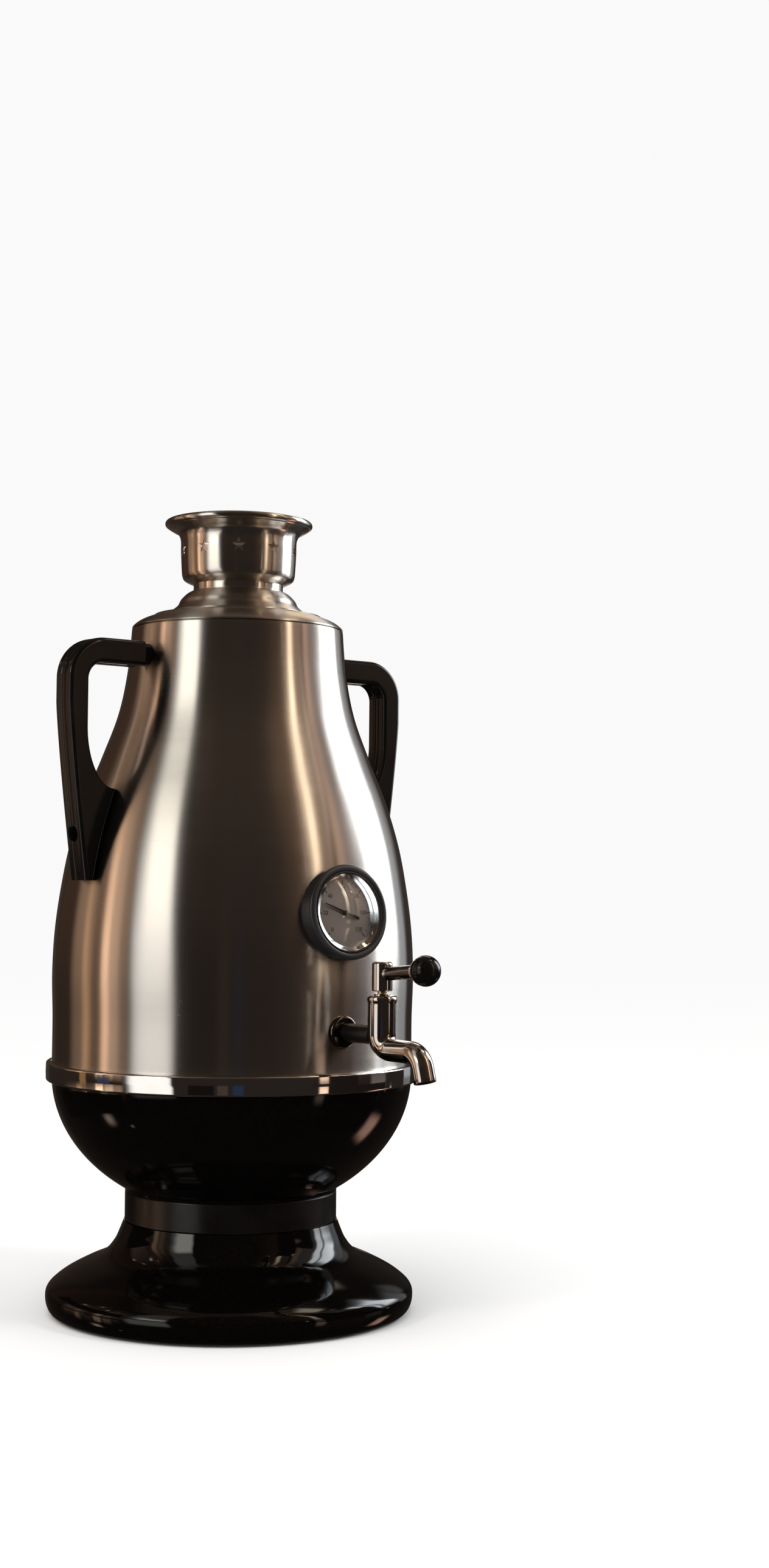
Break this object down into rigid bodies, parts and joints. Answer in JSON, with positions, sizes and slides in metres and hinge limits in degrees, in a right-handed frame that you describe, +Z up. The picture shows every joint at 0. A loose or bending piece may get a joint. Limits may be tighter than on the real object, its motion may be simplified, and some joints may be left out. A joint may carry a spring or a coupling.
{
  "type": "samovar",
  "caption": "Electric samovar: brushed steel urn on a black pedestal foot, with a lever tap, dial thermometer, two side handles and a lift-off lid with a pierced teapot crown.",
  "frame": {"origin": "on the tank's axis, in the plane of the table that the rubber ring stands on", "axes": "+Z up along the tank's axis; the tap and the thermometer face -Y; the handles lie on -X and +X; the power inlet faces +Y"},
  "size_m": [0.224, 0.2759, 0.4374],
  "materials": {
    "black_enamel": "gloss",
    "rubber": "matte",
    "zinc_steel": "satin",
    "black_satin_plastic": "satin",
    "mirror_chrome": "polished",
    "brushed_steel": "brushed round the axis",
    "tank_steel": "satin",
    "heater_sheath": "dull",
    "brass": "satin",
    "red_silicone": "matte",
    "ceramic": "matte",
    "inlet_plastic": "satin",
    "bakelite": "satin gloss",
    "gauge_black": "satin gloss",
    "glass": "clear",
    "dial_paint": "satin",
    "pointer_black": "matte",
    "tap_chrome": "polished",
    "lid_steel": "fine spun, half polished"
  },
  "bodies": {
    "base": {"foot": "black_enamel", "foot_ring": "rubber", "base_plate": "zinc_steel", "tie_rod": "zinc_steel", "tie_rod_nut": "zinc_steel", "waist_ring": "black_satin_plastic", "bowl": "black_enamel", "trim_band": "mirror_chrome", "body_shell": "brushed_steel", "tank_floor": "tank_steel", "heating_element": "heater_sheath", "element_nuts": "brass", "element_gaskets": "red_silicone", "thermal_cutout": "ceramic", "cutout_clip": "zinc_steel", "clip_nut": "zinc_steel", "power_inlet": "inlet_plastic", "inlet_pins": "brass", "inlet_screws": "zinc_steel", "handle_left": "bakelite", "handle_right": "bakelite", "handle_collars": "bakelite", "handle_upper_screws": "zinc_steel", "handle_lower_screws": "zinc_steel", "handle_nuts": "zinc_steel", "gauge_case": "gauge_black", "gauge_bezel": "gauge_black", "gauge_inner_ring": "mirror_chrome", "gauge_glass": "glass", "gauge_dial": "dial_paint", "gauge_stem": "brass", "gauge_gasket": "red_silicone", "gauge_nut": "brass", "tap_rosette": "tap_chrome", "tap_sleeve": "black_satin_plastic", "tap_body": "tap_chrome", "tap_gland": "tap_chrome", "tap_gasket": "red_silicone", "tap_backnut": "brass"},
    "lid": {"lid_shell": "lid_steel", "lid_skirt": "lid_steel", "crown": "lid_steel", "crown_bolt": "zinc_steel", "crown_nut": "zinc_steel"},
    "tap_turning": {"tap_plug": "brass", "tap_lever": "tap_chrome", "tap_knob": "bakelite"},
    "pointer": {"gauge_pointer": "pointer_black"}
  },
  "joints": [
    {"name": "lid_lift", "type": "slide", "parent": "base", "child": "lid", "axis": [0, 0, 1], "range_m": [0, 0.04]},
    {"name": "tap_lever_turn", "type": "hinge", "parent": "base", "child": "tap_turning", "pos_m": [0, -0.1315, 0.17], "axis": [0, 0, 1], "range_deg": [0, 90]},
    {"name": "pointer_turn", "type": "hinge", "parent": "base", "child": "pointer", "pos_m": [0, -0.09964, 0.22025], "axis": [0, -0.9919, 0.1273], "range_deg": [-204, 66]}
  ]
}
